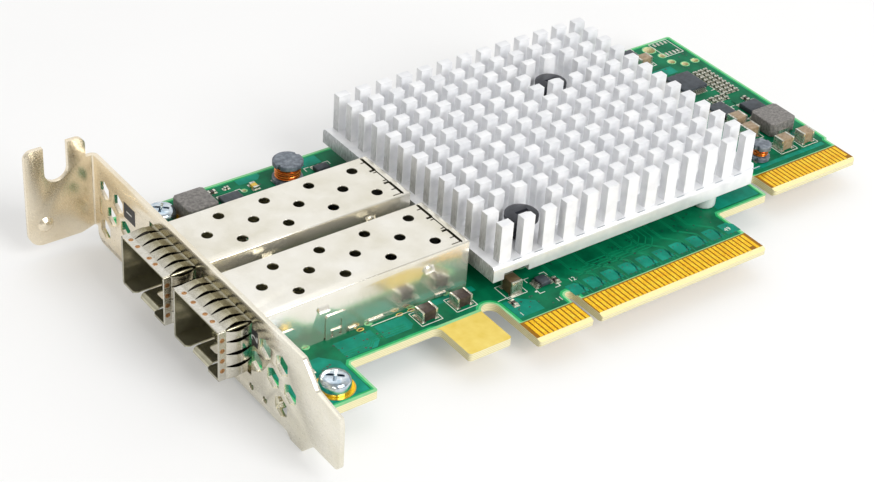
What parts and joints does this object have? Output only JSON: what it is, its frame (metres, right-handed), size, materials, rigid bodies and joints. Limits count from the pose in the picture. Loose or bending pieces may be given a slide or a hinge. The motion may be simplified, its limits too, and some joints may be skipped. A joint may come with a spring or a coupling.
{
  "type": "network interface card",
  "caption": "Low-profile expansion card with side-by-side pluggable network ports, a pin-fin heat sink and a slotted mounting bracket.",
  "frame": {"origin": "middle of the key notch at the tip of the main edge connector, on the component face of the board", "axes": "+X from the bracket to the tail of the card, +Y from the connector tip to the far long edge, +Z out of the component face"},
  "size_m": [0.1477, 0.0792, 0.0226],
  "materials": {
    "bead_ferrite": "dark brown ferrite",
    "black_nylon": "moulded black nylon",
    "bracket_nickel": "warm satin nickel plate on steel sheet",
    "cage_tin": "warm white tin plate",
    "capacitor_ceramic": "tan ceramic",
    "chip_ceramic": "small dark ceramic chips",
    "choke_composite": "fine grey pressed iron composite",
    "collar_steel": "rolled stainless strip with spot welds",
    "contact_gold": "gold flash on spring contacts",
    "enamelled_copper": "glossy enamelled copper wire",
    "ferrite": "dark ferrite",
    "gap_pad": "soft grey thermal pad",
    "hard_gold": "bright hard gold plate over copper",
    "led_clear": "clear diode lens",
    "led_yellow": "yellow diode lens",
    "lid_nickel": "satin nickel lid",
    "package_epoxy": "dark moulded epoxy",
    "package_laminate": "green package laminate",
    "screw_zinc": "bright zinc plate with a blue cast",
    "sink_aluminium": "fine satin aluminium",
    "socket_polymer": "black moulded polymer",
    "solder_mask_laminate": "glossy green solder mask over glass laminate, pale cut edges",
    "spring_steel": "dark spring wire",
    "tinned_copper": "matte tin plate"
  },
  "bodies": {
    "root": {"bracket_screws": "screw_zinc", "bulk_capacitor_bodies": "capacitor_ceramic", "bulk_capacitor_terminals": "tinned_copper", "cage_1_collar": "collar_steel", "cage_1_floor": "cage_tin", "cage_1_shell": "cage_tin", "cage_2_collar": "collar_steel", "cage_2_floor": "cage_tin", "cage_2_shell": "cage_tin", "circuit_board": "solder_mask_laminate", "controller_lid": "lid_nickel", "controller_substrate": "package_laminate", "corner_ic_body": "package_epoxy", "corner_ic_leads": "tinned_copper", "drum_inductor_core": "ferrite", "drum_inductor_feet": "tinned_copper", "drum_inductor_winding": "enamelled_copper", "edge_contacts": "hard_gold", "ferrite_bead_bodies": "bead_ferrite", "ferrite_bead_terminals": "tinned_copper", "finger_ic_body": "package_epoxy", "finger_ic_leads": "tinned_copper", "heat_sink": "sink_aluminium", "left_choke_body": "choke_composite", "left_choke_terminals": "tinned_copper", "left_ic_body": "package_epoxy", "left_ic_leads": "tinned_copper", "mounting_bracket": "bracket_nickel", "push_pin_springs": "spring_steel", "push_pins": "black_nylon", "quad_ic_body": "package_epoxy", "quad_ic_leads": "tinned_copper", "rear_ic_body": "package_epoxy", "rear_ic_leads": "tinned_copper", "right_choke_body": "choke_composite", "right_choke_terminals": "tinned_copper", "screw_lands": "hard_gold", "small_chip_bodies": "chip_ceramic", "small_chip_terminals": "tinned_copper", "small_drum_core": "ferrite", "small_drum_feet": "tinned_copper", "small_drum_winding": "enamelled_copper", "small_ic_body": "package_epoxy", "small_ic_leads": "tinned_copper", "socket_1_body": "socket_polymer", "socket_1_contacts": "contact_gold", "socket_2_body": "socket_polymer", "socket_2_contacts": "contact_gold", "status_led_bodies": "led_yellow", "status_led_terminals": "tinned_copper", "switch_ic_body": "package_epoxy", "switch_ic_leads": "tinned_copper", "tail_contacts": "hard_gold", "thermal_pad": "gap_pad", "window_leds": "led_clear"}
  },
  "joints": []
}
